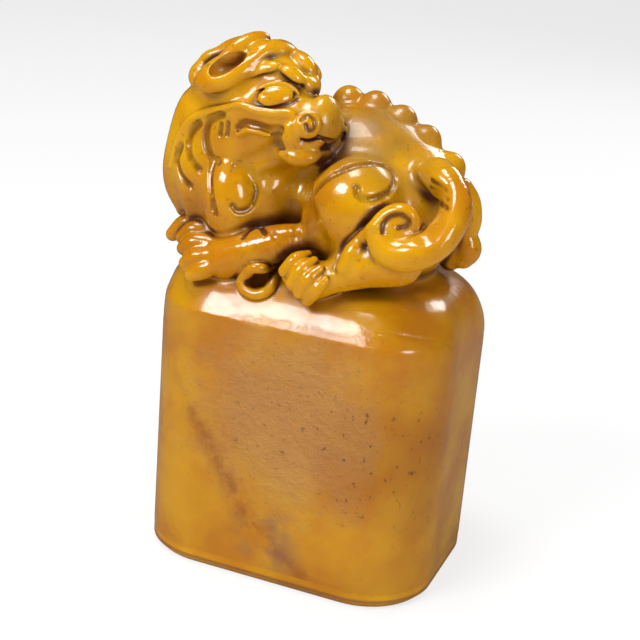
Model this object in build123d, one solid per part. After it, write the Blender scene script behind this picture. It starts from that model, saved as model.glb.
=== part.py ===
from build123d import *
import os
from math import cos, radians, sin

os.makedirs("parts", exist_ok=True)

# Block of stone, in millimetres
block_width = 34.0
block_depth = 26.0
corner_radius = 8.0
wall_height = 28.5
ledge_rise = 5.5
ledge_inset = 2.6
foot_round = 0.6

# Engraved face under the block
face_thickness = 2.0
engraving_depth = 0.8
border_width = 1.6
border_gap = 1.2
fret_line = 0.9
fret_side = 4.6
fret_gap = 1.1

# Masses of the beast, each as its longest and its round-about size
beast_height = 25.0
torso_length = 24.0
torso_girth = 17.4
rump_length = 14.6
rump_girth = 12.6
chest_length = 18.0
chest_girth = 16.6
mane_length = 18.4
mane_girth = 13.2
head_length = 15.6
head_girth = 11.8

# Limbs
shoulder_length = 10.8
shoulder_girth = 8.8
haunch_length = 13.0
haunch_girth = 11.0
foreleg_length = 14.4
hindleg_length = 13.6
leg_girth = 5.0
paw_length = 6.0
paw_girth = 5.0
toe_length = 3.0
toe_girth = 2.0
toe_reach = 2.38
toe_spread = 2.08
toe_drop = 0.25

# Tail
tail_thickness = 2.6
face_turn = radians(30)
scroll_radius = 4.1
curl_radius = 1.4
tail_root_length = 6.4
tail_root_girth = 4.6
tail_lock_length = 6.0
tail_lock_girth = 3.6

# Small carved forms
knob_diameter = 3.0
ear_ring_radius = 2.2
ear_ring_thickness = 1.9
ear_roll_length = 4.2
ear_roll_girth = 3.2
eye_length = 3.6
eye_girth = 2.3
nose_length = 5.2
nose_girth = 4.6
nostril_diameter = 2.4
muzzle_length = 8.8
muzzle_girth = 6.8
jaw_diameter = 8.0
jaw_thickness = 3.2
curl_diameter = 3.0
crown_tuft_length = 8.0
crown_tuft_girth = 5.0
brow_tuft_length = 6.0
brow_tuft_girth = 3.8
mane_lock_length = 13.0
mane_lock_girth = 4.4
charm_radius = 2.0
charm_thickness = 1.5

seat = wall_height + ledge_rise

# Turns each round body about itself, so that its seam doesn't run through a meeting line
seam_turn = (35, 25, 15)


def place(shares):
    """Point of the beast's space, as shares of the block's plan and of the beast's height."""
    x_share, y_share, z_share = shares
    return Vector(x_share * block_width, y_share * block_depth, seat + z_share * beast_height)


def far(shares):
    """Same place on the beast's far side."""
    x_share, y_share, z_share = shares
    return (x_share, -y_share, z_share)


def near(shares):
    """Place on the beast's near side, as the tables give it."""
    return shares


def egg(shares, length, girth, turn=(0, 0, 0)):
    """Round body with ball ends, longest along X before it is turned."""
    radius = girth / 2
    reach = length / 2 - radius
    outline = [
        CenterArc((reach, 0), radius, 0, 90),
        Line((reach, radius), (-reach, radius)),
        CenterArc((-reach, 0), radius, 90, 90),
        Line((-reach - radius, 0), (reach + radius, 0)),
    ]
    body = revolve(make_face(outline), Axis.X)
    return Location(place(shares), turn) * Rot(seam_turn[0], 0, 0) * body


def pebble(shares, diameter, thickness, turn=(0, 0, 0)):
    """Flat body with a half-round rim, thinnest along Z before it is turned."""
    radius = thickness / 2
    reach = diameter / 2 - radius
    outline = [
        Line((0, -radius), (reach, -radius)),
        CenterArc((reach, 0), radius, -90, 180),
        Line((reach, radius), (0, radius)),
        Line((0, radius), (0, -radius)),
    ]
    body = revolve(make_face(outline), Axis.Y)
    return Location(place(shares), turn) * Rot(90, 0, 0) * body


def ball(shares, diameter):
    return Location(place(shares), seam_turn) * Sphere(diameter / 2)


def ring(shares, radius, thickness, turn):
    return Location(place(shares), turn) * Rot(0, 0, seam_turn[2]) * Torus(radius, thickness / 2)


# Block: straight walls on a rounded outline, and a hand-cut slope up to the beast's ground
def plan(inset=0.0):
    """Outline of the block, drawn in by an inset."""
    width = block_width - 2 * inset
    depth = block_depth - 2 * inset
    return RectangleRounded(width, depth, corner_radius - inset)


def upright(outline, low, high):
    """Straight wall on an outline, between two heights."""
    return extrude(Plane.XY.offset(low) * outline, high - low)


def make_block():
    return upright(plan(), face_thickness, wall_height)


def make_ledge():
    foot = Plane.XY.offset(wall_height) * plan()
    top = Plane.XY.offset(seat) * plan(ledge_inset)
    return loft([foot.face(), top.face()], ruled=True)


# Printing face: a plain frame round key frets, left standing where the ground is cut away
def square_spiral():
    """One fret, a line that winds inwards in square turns."""
    spiral_shares = (
        (-0.5, -0.5),
        (-0.5, 0.5),
        (0.5, 0.5),
        (0.5, -0.5),
        (-0.15, -0.5),
        (-0.15, 0.15),
        (0.15, 0.15),
    )
    reach = fret_side - fret_line
    points = [(x_share * reach, y_share * reach) for x_share, y_share in spiral_shares]
    return trace(Polyline(*points), fret_line)


def fret_rows():
    """Frets in rows that fill the frame, each turned against its neighbours."""
    pitch = fret_side + fret_gap
    room = border_width + border_gap
    columns = int((block_width - 2 * room + fret_gap) // pitch)
    rows = int((block_depth - 2 * room + fret_gap) // pitch)
    spiral = square_spiral()
    frets = []
    for column in range(columns):
        for row in range(rows):
            x = (column - (columns - 1) / 2) * pitch
            y = (row - (rows - 1) / 2) * pitch
            frets.append(Location((x, y), 180 * ((column + row) % 2)) * spiral)
    return frets


def make_seal_face():
    plate = upright(plan(), 0, face_thickness)
    plate = chamfer(plate.faces().sort_by(Axis.Z)[0].outer_wire().edges(), foot_round)
    ground = plan(border_width)
    for fret in fret_rows():
        ground -= fret
    return plate - upright(ground, 0, engraving_depth)


# Masses of the body
def make_torso():
    return egg((0.05, 0.04, 0.33), torso_length, torso_girth, (0, 8, 0))


def make_rump():
    return egg((0.26, 0.03, 0.28), rump_length, rump_girth, (0, 0, 90))


def make_chest():
    return egg((-0.27, -0.05, 0.29), chest_length, chest_girth, (0, 90, 0))


def make_mane():
    return egg((-0.35, -0.11, 0.54), mane_length, mane_girth, (0, 82, 0))


def make_head():
    return egg((-0.24, -0.17, 0.77), head_length, head_girth, (0, 6, -10))


# Face of the beast
def make_muzzle():
    return egg((-0.06, -0.22, 0.66), muzzle_length, muzzle_girth, (0, 8, -8))


def make_nose():
    return egg((0.035, -0.25, 0.68), nose_length, nose_girth, (0, 0, 82))


def make_nostrils():
    places = ((-0.01, -0.355, 0.69), (0.01, -0.115, 0.69))
    return [ball(shares, nostril_diameter) for shares in places]


def make_jaw():
    return pebble((-0.08, -0.25, 0.555), jaw_diameter, jaw_thickness, (0, 6, -8))


def make_eyes():
    places = ((-0.13, -0.345, 0.80), (-0.11, -0.015, 0.80))
    return [egg(shares, eye_length, eye_girth, (0, 8, 0)) for shares in places]


def make_brow_curls():
    """Row of knobs over the eyes, from the near temple to the far one."""
    row_shares = ((-0.07, -0.28, 0.88), (-0.04, -0.17, 0.885), (-0.05, -0.06, 0.88))
    return [ball(shares, curl_diameter) for shares in row_shares]


def make_tufts():
    """Locks combed back over the crown, the longer one behind."""
    back = egg((-0.29, -0.12, 0.92), crown_tuft_length, crown_tuft_girth, (0, -14, 0))
    front = egg((-0.16, -0.16, 0.925), brow_tuft_length, brow_tuft_girth, (0, 14, 0))
    return [back, front]


def make_ears():
    """Ears rolled into rings that lie against the temples."""
    near_ring = ring((-0.32, -0.36, 0.84), ear_ring_radius, ear_ring_thickness, (78, 0, -12))
    far_ring = ring((-0.32, 0.06, 0.84), ear_ring_radius, ear_ring_thickness, (102, 0, 12))
    return [near_ring, far_ring]


def make_ear_rolls():
    """Outer ends of the ears, rolled up behind the rings."""
    places = ((-0.45, -0.25, 0.80), (-0.44, 0.0, 0.80))
    return [egg(shares, ear_roll_length, ear_roll_girth, (0, 70, 0)) for shares in places]


# Mane: long locks that hang down round the neck
def make_mane_locks():
    lock_shares = (
        ((-0.41, -0.28, 0.42), 8),
        ((-0.48, -0.15, 0.40), 4),
        ((-0.49, 0.00, 0.40), 0),
        ((-0.44, 0.14, 0.42), -4),
        ((-0.34, 0.24, 0.46), -8),
    )
    return [egg(shares, mane_lock_length, mane_lock_girth, (tilt, 84, 0)) for shares, tilt in lock_shares]


# Ridge of rounded knobs down the spine
def make_ridge():
    ridge_shares = (
        (-0.03, 0.04, 0.715),
        (0.06, 0.04, 0.705),
        (0.15, 0.04, 0.665),
        (0.24, 0.04, 0.605),
        (0.32, 0.04, 0.525),
    )
    return [ball(shares, knob_diameter) for shares in ridge_shares]


# Limbs, alike on both sides
def make_shoulder(side):
    return egg(side((-0.21, -0.30, 0.36)), shoulder_length, shoulder_girth, (0, 80, 0))


def make_foreleg(side):
    return egg(side((-0.195, -0.39, 0.095)), foreleg_length, leg_girth, (0, -5, 0))


def make_haunch(side):
    return egg(side((0.15, -0.26, 0.34)), haunch_length, haunch_girth, (0, 70, 0))


def make_hindleg(side):
    return egg(side((0.18, -0.40, 0.12)), hindleg_length, leg_girth, (0, -16, 0))


def make_paw(side, shares):
    return egg(side(shares), paw_length, paw_girth)


def make_toes(side, shares):
    """Three toes in a fan at the tip of a paw."""
    x_share, y_share, z_share = shares
    tip_x_share = x_share - toe_reach / block_width
    tip_z_share = z_share - toe_drop / beast_height
    toes = []
    for step in (-1, 0, 1):
        spot = (tip_x_share, y_share + step * toe_spread / block_depth, tip_z_share)
        toes.append(egg(side(spot), toe_length, toe_girth, (0, -20, 0)))
    return toes


forepaw_shares = (-0.38, -0.375, 0.065)
hindpaw_shares = (0.03, -0.42, 0.065)


# Tail: over the rump to the near side, then a scroll that winds into itself
def make_tail_scroll():
    """Volute of three arcs, each starting where the last one ends."""
    middle = place((0.37, -0.39, 0.35))
    across = (cos(face_turn), sin(face_turn), 0)
    outwards = (sin(face_turn), -cos(face_turn), 0)
    face = Plane(origin=middle, x_dir=across, z_dir=outwards)
    half_radius = (scroll_radius + curl_radius) / 2
    drop = half_radius - scroll_radius
    lift = drop + half_radius - curl_radius
    outer = CenterArc((0, 0), scroll_radius, 60, -150)
    side = CenterArc((0, drop), half_radius, -90, -180)
    curl = CenterArc((0, lift), curl_radius, 90, -150)
    path = face * Wire([outer.edge(), side.edge(), curl.edge()])
    section = Plane(origin=path @ 0, z_dir=path % 0) * Circle(tail_thickness / 2)
    return sweep(section, path=path)


def make_tail_root():
    return egg((0.41, -0.17, 0.48), tail_root_length, tail_root_girth, (0, 30, 0))


def make_tail_locks():
    """Knobbed end of the tail, hanging over the end of the block."""
    stack_shares = ((0.43, 0.12, 0.33), (0.44, 0.12, 0.19), (0.44, 0.12, 0.05))
    return [egg(shares, tail_lock_length, tail_lock_girth, (0, 90, 0)) for shares in stack_shares]


def make_charm():
    """Small ring on the ledge between the paws."""
    return ring((-0.135, -0.435, -0.03), charm_radius, charm_thickness, (70, 0, 0))


# What stands out most comes first: each form is cut by those before it, so all meet face to face
over_the_ledge = {
    "charm_ring": make_charm(),
    "left_foretoes": make_toes(near, forepaw_shares),
    "right_foretoes": make_toes(far, forepaw_shares),
    "left_hindtoes": make_toes(near, hindpaw_shares),
    "right_hindtoes": make_toes(far, hindpaw_shares),
    "left_forepaw": make_paw(near, forepaw_shares),
    "right_forepaw": make_paw(far, forepaw_shares),
    "left_hindpaw": make_paw(near, hindpaw_shares),
    "right_hindpaw": make_paw(far, hindpaw_shares),
    "tail_scroll": make_tail_scroll(),
    "tail_locks": make_tail_locks(),
    "left_foreleg": make_foreleg(near),
    "right_foreleg": make_foreleg(far),
    "left_hindleg": make_hindleg(near),
    "right_hindleg": make_hindleg(far),
}
above_the_ledge = {
    "nostrils": make_nostrils(),
    "eyes": make_eyes(),
    "nose": make_nose(),
    "brow_curls": make_brow_curls(),
    "ears": make_ears(),
    "ear_rolls": make_ear_rolls(),
    "crown_tufts": make_tufts(),
    "lower_jaw": make_jaw(),
    "muzzle": make_muzzle(),
    "head": make_head(),
    "spine_ridge": make_ridge(),
    "tail_root": make_tail_root(),
    "mane_locks": make_mane_locks(),
    "left_shoulder": make_shoulder(near),
    "right_shoulder": make_shoulder(far),
    "left_haunch": make_haunch(near),
    "right_haunch": make_haunch(far),
    "mane": make_mane(),
    "chest": make_chest(),
    "rump": make_rump(),
    "torso": make_torso(),
}


def boxes_meet(one, other):
    a = one.bounding_box()
    b = other.bounding_box()
    pairs = zip(tuple(a.min), tuple(a.max), tuple(b.min), tuple(b.max))
    return all(a_low < b_high and b_low < a_high for a_low, a_high, b_low, b_high in pairs)


def cut_by(shape, tools):
    """Largest solid that is left of a shape when its neighbours are taken away."""
    for tool in tools:
        if boxes_meet(shape, tool):
            shape = shape - tool
    return max(shape.solids(), key=lambda solid: solid.volume)


ground = Pos(0, 0, seat / 2) * Box(2 * block_width, 2 * block_depth, seat)
pieces = {}
placed = []
for group, floor in ((over_the_ledge, []), (above_the_ledge, [ground])):
    for name, forms in group.items():
        solids = []
        for form in forms if isinstance(forms, list) else [forms]:
            solids.append(cut_by(form, placed + floor))
            placed.append(form)
        pieces[name] = solids

low_forms = []
for forms in over_the_ledge.values():
    low_forms += forms if isinstance(forms, list) else [forms]
pieces["ledge"] = [cut_by(make_ledge(), low_forms)]
pieces["seal_block"] = [make_block()]
pieces["seal_face"] = [make_seal_face()]

for name, solids in pieces.items():
    shape = solids[0] if len(solids) == 1 else Compound(children=solids)
    export_step(shape, f"parts/{name}.step")
    print(name, len(solids), round(sum(solid.volume for solid in solids), 2))
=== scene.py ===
import math
import time
import bpy
import numpy as np
import openvdb
from concurrent.futures import ThreadPoolExecutor
from mathutils import Matrix, Vector


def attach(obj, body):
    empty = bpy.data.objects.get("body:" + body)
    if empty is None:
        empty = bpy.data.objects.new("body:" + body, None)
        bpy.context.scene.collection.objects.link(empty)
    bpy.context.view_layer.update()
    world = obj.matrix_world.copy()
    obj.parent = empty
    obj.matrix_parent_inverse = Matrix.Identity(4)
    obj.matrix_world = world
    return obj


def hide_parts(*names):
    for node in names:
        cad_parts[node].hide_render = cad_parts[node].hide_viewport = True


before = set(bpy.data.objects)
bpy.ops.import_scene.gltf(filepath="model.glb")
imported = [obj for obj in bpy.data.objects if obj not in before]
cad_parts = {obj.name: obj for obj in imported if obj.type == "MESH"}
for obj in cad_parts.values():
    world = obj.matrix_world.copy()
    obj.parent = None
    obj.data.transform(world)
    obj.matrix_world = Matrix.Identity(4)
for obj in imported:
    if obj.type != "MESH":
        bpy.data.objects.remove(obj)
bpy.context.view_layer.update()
startedAt = time.time()
print("stage: CAD frame loaded,", len(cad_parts), "nodes")

# Clay tools
mm = 0.001  # the carving is worked out in millimetres, the meshes are in metres
tiny = 1e-9
farAway = 1e9

photoView = {  # degrees and millimetres, in the object's own frame
    "azimuth": 20.586,
    "elevation": 19.462,
    "roll": 4.901,
    "distance": 151.771,
    "fieldOfView": 27.0,
    "aim": (-0.675, 0.0, 27.312),
    "pictureSize": 640,
    "nearestShown": 0.01,  # metres
}

clayWork = {  # how the clay's surface is searched for
    "beyond": 8.0,  # the distance given where no form is near
    "room": 2.0,  # round a form, besides its blend
    "grooveRoom": 3,  # round a groove, in its widths
    "pathSteps": 5,
    "slopeStep": 0.03,
    "seatRounds": 8,
    "seatStride": 0.5,
    "castStart": 45.0,  # in front of the aim
    "castRounds": 120,
    "castShare": 0.7,  # of the free distance, for one step
    "castStride": 2.0,
    "castCrawl": 1e-3,
    "castGain": 1e-4,
    "castTouch": 0.01,
}


def viewAxes():
    azimuth = math.radians(photoView["azimuth"])
    elevation = math.radians(photoView["elevation"])
    roll = math.radians(photoView["roll"])
    back = np.array([
        math.sin(azimuth) * math.cos(elevation),
        -math.cos(azimuth) * math.cos(elevation),
        math.sin(elevation),
    ])
    level = np.array([math.cos(azimuth), math.sin(azimuth), 0.0])
    upright = np.cross(back, level)
    right = math.cos(roll) * level + math.sin(roll) * upright
    up = math.cos(roll) * upright - math.sin(roll) * level
    return right, up, back


viewRight, viewUp, viewBack = viewAxes()
viewEye = np.array(photoView["aim"]) + photoView["distance"] * viewBack


def pixelRay(pixel):
    half = photoView["pictureSize"] / 2
    focal = half / math.tan(math.radians(photoView["fieldOfView"]) / 2)
    across = (pixel[0] - half) / focal
    down = (pixel[1] - half) / focal
    ray = across * viewRight - down * viewUp - viewBack
    return ray / np.linalg.norm(ray)


def atDepth(pixel, depth):
    ray = pixelRay(pixel)  # where the pixel's ray meets the plane y = depth
    return viewEye + ray * (depth - viewEye[1]) / ray[1]


def pathAt(pixels, depths):
    depths = np.broadcast_to(depths, len(pixels))
    return np.array([atDepth(pixel, depth) for pixel, depth in zip(pixels, depths)])


def unit(vector):
    vector = np.asarray(vector, float)
    return vector / max(np.linalg.norm(vector), tiny)


def turnedAxes(turn):
    a, b, c = (math.radians(angle) for angle in turn)
    aboutX = np.array([[1, 0, 0], [0, math.cos(a), -math.sin(a)], [0, math.sin(a), math.cos(a)]])
    aboutY = np.array([[math.cos(b), 0, math.sin(b)], [0, 1, 0], [-math.sin(b), 0, math.cos(b)]])
    aboutZ = np.array([[math.cos(c), -math.sin(c), 0], [math.sin(c), math.cos(c), 0], [0, 0, 1]])
    return (aboutZ @ aboutY @ aboutX).T  # rows are the form's own axes


def curvedPath(points):
    points = np.asarray(points, float)
    if len(points) < 3:
        return points
    padded = np.vstack([2 * points[0] - points[1], points, 2 * points[-1] - points[-2]])
    path = []
    for i in range(1, len(padded) - 2):
        a, b, c, d = padded[i - 1:i + 3]
        for t in np.linspace(0, 1, clayWork["pathSteps"], endpoint=False):
            bend = 2 * a - 5 * b + 4 * c - d + t * (3 * (b - c) + d - a)
            path.append(b + 0.5 * t * (c - a + t * bend))
    path.append(points[-1])
    return np.array(path)


class Pebble:  # an ellipsoid, its axes the rows of a matrix
    def __init__(self, centre, radii, axes):
        self.centre = np.asarray(centre, float)
        self.radii = np.asarray(radii, float)
        self.axes = axes
        self.low = self.centre - self.radii.max()
        self.high = self.centre + self.radii.max()

    def distance(self, points):
        local = (points - self.centre) @ (self.axes.T / self.radii)
        near = np.sqrt(np.einsum("ij,ij->i", local, local))
        local = local / self.radii
        steep = np.sqrt(np.einsum("ij,ij->i", local, local))
        return near * (near - 1) / np.maximum(steep, tiny)

    def within(self, low, high, reach):
        return self


class Roll:  # a round rope, as short tapered lengths from starts to ends
    def __init__(self, starts, ends):
        self.starts = starts
        self.ends = ends
        both = np.vstack([starts, ends])
        self.low = (both[:, :3] - both[:, 3:]).min(0)
        self.high = (both[:, :3] + both[:, 3:]).max(0)

    def distance(self, points):
        nearest = np.full(len(points), farAway)
        for start, end in zip(self.starts, self.ends):
            along = end[:3] - start[:3]
            offset = points - start[:3]
            share = np.clip(offset @ (along / max(along @ along, tiny ** 2)), 0, 1)
            offset -= share[:, None] * along
            gap = np.sqrt(np.einsum("ij,ij->i", offset, offset)) - start[3] - share * (end[3] - start[3])
            np.minimum(nearest, gap, out=nearest)
        return nearest

    def within(self, low, high, reach):
        room = reach + np.maximum(self.starts[:, 3:], self.ends[:, 3:])
        inLow = np.minimum(self.starts[:, :3], self.ends[:, :3]) - room < high
        inHigh = np.maximum(self.starts[:, :3], self.ends[:, :3]) + room > low
        kept = np.all(inLow & inHigh, axis=1)
        return Roll(self.starts[kept], self.ends[kept]) if kept.any() else None


def rollThrough(points, radii):
    path = curvedPath(np.column_stack([points, np.broadcast_to(radii, len(points))]))
    return Roll(path[:-1], path[1:])


def softLower(a, b, blend):
    share = np.clip(0.5 + 0.5 * (b - a) / blend, 0, 1)
    return b + (a - b) * share - blend * share * (1 - share)


def roomAround(kind, size):
    return clayWork["grooveRoom"] * size if kind == "groove" else clayWork["room"] + size


class Clay:
    def __init__(self, forms=()):
        self.forms = list(forms)

    def add(self, piece, shape, blend):
        self.forms.append(("add", piece, shape, blend, 0.0))

    def pebble(self, piece, centre, radii, turn, blend):
        self.add(piece, Pebble(centre, radii, turnedAxes(turn)), blend)

    def roll(self, piece, points, radii, blend):
        self.add(piece, rollThrough(points, radii), blend)

    def carve(self, shape, blend):
        self.forms.append(("carve", "", shape, blend, 0.0))

    def groove(self, points, width, depth):
        self.forms.append(("groove", "", rollThrough(points, 0.0), width, depth))

    def near(self, low, high):
        kept = []
        for kind, piece, shape, size, depth in self.forms:
            reach = roomAround(kind, size)
            if np.all(shape.low - reach < high) and np.all(shape.high + reach > low):
                part = shape.within(low, high, reach)
                if part is not None:
                    kept.append((kind, piece, part, size, depth))
        return Clay(kept)

    def field(self, points, pieces=None):
        whole = np.full(len(points), clayWork["beyond"])
        for kind, piece, shape, size, depth in self.forms:
            reach = roomAround(kind, size)
            inside = (points > shape.low - reach) & (points < shape.high + reach)
            close = np.flatnonzero(np.all(inside, axis=1))
            if not len(close):
                continue
            gap = shape.distance(points[close])
            if kind == "add":
                whole[close] = softLower(whole[close], gap, size)
                if pieces is not None:
                    own = pieces.setdefault(piece, np.full(len(points), clayWork["beyond"]))
                    own[close] = np.minimum(own[close], gap)
            elif kind == "carve":
                whole[close] = -softLower(-whole[close], gap, size)
            else:
                whole[close] += depth * np.exp(-(gap / size) ** 2)
        return whole

    def slope(self, points):
        sides = np.eye(3) * clayWork["slopeStep"]
        rise = np.stack([self.field(points + side) - self.field(points - side) for side in sides], 1)
        return rise / np.maximum(np.linalg.norm(rise, axis=1), tiny)[:, None]

    def seated(self, points):
        points = np.array(points, float)
        stride = clayWork["seatStride"]
        for _ in range(clayWork["seatRounds"]):
            points -= self.slope(points) * np.clip(self.field(points), -stride, stride)[:, None]
        return points

    def cast(self, pixels):
        rays = np.array([pixelRay(pixel) for pixel in pixels])
        travel = np.full(len(rays), photoView["distance"] - clayWork["castStart"])
        nearest = np.full(len(rays), farAway)
        best = travel.copy()
        for _ in range(clayWork["castRounds"]):
            gap = self.field(viewEye + rays * travel[:, None])
            closer = gap < nearest - clayWork["castGain"]
            nearest[closer] = gap[closer]
            best[closer] = travel[closer]
            stride = np.clip(gap * clayWork["castShare"], 0.0, clayWork["castStride"])
            travel = travel + np.where(nearest > clayWork["castTouch"], stride, 0.0)
            travel = travel + (gap > clayWork["castTouch"]) * clayWork["castCrawl"]
        return viewEye + rays * best[:, None]


# Masses
midline = -0.9  # the far limbs mirror the near ones about this depth
muzzleTurn = -8.0


def outward(bearing):
    return np.array([math.cos(math.radians(bearing)), math.sin(math.radians(bearing))])


def acrossBody(points):
    mirrored = np.array(points, float)
    mirrored[..., 1] = 2 * midline - mirrored[..., 1]
    return mirrored


headPlane = {"origin": np.array([-5.0, -4.6, 52.0]), "normal": turnedAxes((0, 0, muzzleTurn))[1]}


def acrossHead(points):
    away = (np.asarray(points, float) - headPlane["origin"]) @ headPlane["normal"]
    return points - 2 * away[..., None] * headPlane["normal"]


stoneBlock = {
    "halfWidth": 17.0,
    "halfDepth": 13.0,
    "cornerRadius": 8.0,
    "shoulderHeight": 27.5,
    "facetHeight": 30.2,  # where the hand-cut facet starts on the front wall
    "facetSlope": 0.62,
    "footRound": 0.9,
    "slopes": {"front": 0.008, "back": 0.060, "left": 0.020, "right": 0.060},
    "ledgeTop": 34.8,
    "ledgeFall": 0.04,
    "ledgeRound": 2.4,
    "blend": 0.2,
}


class Block:
    def __init__(self, size):
        self.size = size
        self.low = np.array([-size["halfWidth"], -size["halfDepth"], 0.0])
        self.high = np.array([size["halfWidth"], size["halfDepth"], size["ledgeTop"]])

    def within(self, low, high, reach):
        return self

    def distance(self, points):
        size = self.size
        x, y, z = points.T
        above = np.maximum(z - size["shoulderHeight"], 0) ** 2
        slopes = size["slopes"]
        sideways = np.where(x > 0, x + slopes["right"] * above, -x + slopes["left"] * above)
        endways = np.where(y > 0, y + slopes["back"] * above, -y + slopes["front"] * above)
        facet = np.maximum(z - size["facetHeight"], 0) * size["facetSlope"]
        endways = np.where(y < 0, endways + facet, endways)
        right = sideways - size["halfWidth"] + size["cornerRadius"]
        front = endways - size["halfDepth"] + size["cornerRadius"]
        wall = np.hypot(np.maximum(right, 0), np.maximum(front, 0))
        wall = wall + np.minimum(np.maximum(right, front), 0) - size["cornerRadius"]
        solid = -softLower(-wall, z, size["footRound"])
        top = z - size["ledgeTop"] + size["ledgeFall"] * np.abs(x)
        return -softLower(-solid, -top, size["ledgeRound"])


bodyMasses = [  # piece, centre, radii, turn, blend
    ("torso", (1.8, 1.5, 42.4), (10.9, 8.0, 9.8), (0, 10, 0), 1.0),
    ("rump", (8.2, 1.0, 40.5), (5.5, 7.2, 7.8), (0, 20, 0), 2.0),
    ("chest", (-9.0, -2.0, 41.4), (7.0, 7.6, 8.6), (0, 0, 0), 1.5),
    ("mane", (-12.4, -3.2, 44.0), (6.4, 6.4, 6.0), (0, 8, 0), 1.8),
    ("mane", (-12.3, -3.6, 48.8), (5.6, 5.4, 5.2), (0, 0, 0), 1.8),
    ("mane", (-7.4, -3.6, 48.2), (6.6, 5.6, 6.0), (0, 0, 0), 1.8),
    ("head", (-9.0, -4.8, 52.5), (6.3, 4.8, 4.0), (0, 4, -8), 1.2),
    ("head", (-5.6, -4.9, 52.8), (3.9, 3.9, 3.2), (0, 24, -8), 1.0),
    ("head", (-6.4, -6.0, 50.8), (5.4, 3.8, 3.6), (0, 0, -8), 1.0),
    ("head", (-5.4, -4.3, 54.9), (3.5, 3.1, 2.3), (0, 18, -8), 1.5),
    ("crown_tufts", (-9.6, -4.4, 55.8), (3.6, 2.6, 1.9), (0, -14, -8), 1.2),
    ("muzzle", (-2.6, -6.0, 50.9), (3.8, 3.3, 2.7), (0, 10, -8), 1.0),
    ("nose", (0.5, -6.0, 51.6), (1.35, 2.0, 2.4), (0, -14, -8), 1.4),
    ("lower_jaw", (-2.8, -6.2, 47.8), (3.8, 2.9, 1.4), (0, 8, -8), 0.6),
]

limbMasses = [  # piece without its side, pixel, depth, radii, turn, blend
    ("shoulder", (233, 198), -7.7, (3.3, 3.5, 4.8), (0, -6, 0), 0.7),
    ("forepaw", (209, 254), -9.0, (2.5, 2.5, 2.7), (0, 0, 20), 0.5),
    ("haunch", (350, 210), -6.8, (5.0, 4.6, 5.8), (0, 25, 0), 1.6),
    ("hindpaw", (304, 276), -10.9, (2.6, 2.0, 2.1), (0, 30, 8), 0.4),
]

limbRolls = [  # piece without its side, pixels, depths, radii, blend
    ("foreleg", [(308, 236), (280, 242), (250, 251), (226, 257)], [-7.8, -9.0, -9.6, -9.6],
     [1.3, 1.9, 2.2, 2.4], 0.7),
    ("hindleg", [(396, 258), (366, 264), (340, 274), (320, 280)], [-8.4, -9.4, -10.3, -10.9],
     [3.0, 2.5, 1.9, 1.7], 1.4),
]

tailScroll = {
    "pixels": [(441, 172), (450, 188), (454, 205), (449, 223), (437, 240), (420, 251), (403, 255),
               (389, 251), (381, 242), (379, 231), (383, 221), (392, 214), (402, 212), (411, 216),
               (416, 224), (416, 234)],
    "depths": [-4.0, -5.2, -6.4, -8.0, -9.4, -10.5, -11.0, -11.2, -11.2, -11.0, -10.7, -10.4, -10.2, -10.0,
               -9.9, -9.8],
    "radii": [1.2, 1.7, 1.9, 1.9, 1.9, 1.85, 1.75, 1.6, 1.4, 1.2, 1.0, 0.95, 0.9, 0.85, 0.75, 0.6],
    "blend": 0.25,
    "heartPixel": (399, 238), "heartDepth": -9.5, "heartRadii": (3.0, 2.0, 3.0), "heartTurn": (0, 0, 30),
    "heartBlend": 0.3,
}

tailRoot = {
    "pixels": [(420, 180), (433, 173), (444, 182)],
    "depths": [-1.6, -3.2, -4.8],
    "radii": [1.4, 1.7, 1.7],
    "blend": 0.8,
}

tailLocks = {
    "depth": 4.0,
    "locks": [  # pixels, radii
        ([(463, 188), (467, 203), (470, 220), (466, 235), (468, 249), (463, 257)],
         [1.1, 1.5, 1.3, 1.3, 1.5, 1.3]),
        ([(452, 222), (455, 238), (454, 252), (450, 260)], [1.0, 1.4, 1.4, 1.2]),
    ],
    "blend": 0.4,
}

spineKnobs = {  # one lobe for each pixel of the back's outline, pointing from the pixel to the aim
    "pixels": [(349, 110), (374, 115), (397, 128), (420, 147), (443, 173)],
    "aims": [(349, 136), (369, 140), (384, 149), (403, 167), (423, 189)],
    "depth": 2.6,
    "radii": (2.7, 2.1, 2.0),
    "blend": 0.6,
}

maneLocks = {
    "middle": (-12.2, -3.3),
    "ring": 4.8,
    "bearings": (-105, -140, -175, 150, 115),
    "heights": (39.2, 42.5, 47.0, 50.8),
    "ringShares": (0.9, 1.05, 1.0, 0.85),
    "radii": [0.9, 1.6, 1.5, 0.8],
    "blend": 1.0,
}

masses = Clay()
masses.add("stone", Block(stoneBlock), stoneBlock["blend"])
for piece, centre, radii, turn, blend in bodyMasses:
    masses.pebble(piece, centre, radii, turn, blend)
for piece, pixel, depth, radii, turn, blend in limbMasses:
    centre = atDepth(pixel, depth)
    masses.pebble("left_" + piece, centre, radii, turn, blend)
    masses.pebble("right_" + piece, acrossBody(centre), radii, [-turn[0], turn[1], -turn[2]], blend)
for piece, pixels, depths, radii, blend in limbRolls:
    path = pathAt(pixels, depths)
    masses.roll("left_" + piece, path, radii, blend)
    masses.roll("right_" + piece, acrossBody(path), radii, blend)
for bearing in maneLocks["bearings"]:
    path = [(*(outward(bearing) * maneLocks["ring"] * share + maneLocks["middle"]), height)
            for share, height in zip(maneLocks["ringShares"], maneLocks["heights"])]
    masses.roll("mane_locks", path, maneLocks["radii"], maneLocks["blend"])
tailPath = pathAt(tailScroll["pixels"], tailScroll["depths"])
masses.roll("tail_scroll", tailPath, tailScroll["radii"], tailScroll["blend"])
masses.pebble("tail_scroll", atDepth(tailScroll["heartPixel"], tailScroll["heartDepth"]),
              tailScroll["heartRadii"], tailScroll["heartTurn"], tailScroll["heartBlend"])
rootPath = pathAt(tailRoot["pixels"], tailRoot["depths"])
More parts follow.
